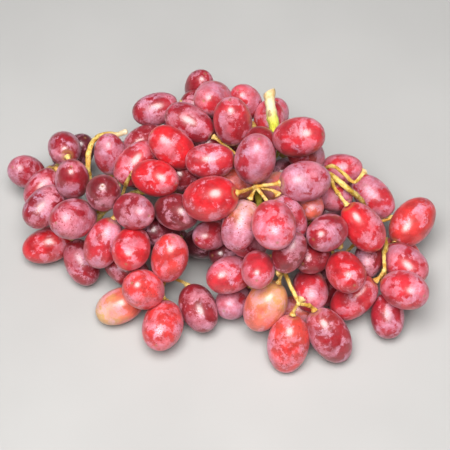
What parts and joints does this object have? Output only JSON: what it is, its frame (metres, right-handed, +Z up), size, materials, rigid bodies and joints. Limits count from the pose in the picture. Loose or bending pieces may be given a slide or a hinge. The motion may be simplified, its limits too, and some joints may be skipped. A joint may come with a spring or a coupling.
{
  "type": "bunch of grapes",
  "caption": "Bunch of red oval grapes lying on its side, berries crowded on green side branches, with a short cut stalk.",
  "frame": {"origin": "centre of the bunch's bounding box, on the surface that the bunch lies on", "axes": "+X along the longest extent of the bunch, +Y towards the cut end of the stalk, +Z up from the surface"},
  "size_m": [0.2014, 0.1436, 0.0836],
  "materials": {
    "berry_red": "smooth waxy skin, pink-red with a lilac bloom",
    "berry_dark": "smooth waxy skin, dark purple-red with a lilac bloom",
    "stem": "yellow-green, slightly waxy, with small brown warts"
  },
  "bodies": {
    "root": {"berries_left_tip": "berry_dark", "berries_left_front": "berry_dark", "berries_left_inner": "berry_dark", "berries_left_back": "berry_dark", "berries_front_left": "berry_red", "berries_top_left": "berry_red", "berries_centre_left": "berry_red", "berries_top": "berry_red", "berries_top_right": "berry_red", "berries_centre": "berry_red", "berries_right": "berry_red", "berries_right_back": "berry_red", "berries_right_tip": "berry_red", "berries_right_front": "berry_red", "berries_middle": "berry_red", "berries_front": "berry_red", "berries_tip": "berry_red", "stem": "stem"}
  },
  "joints": []
}
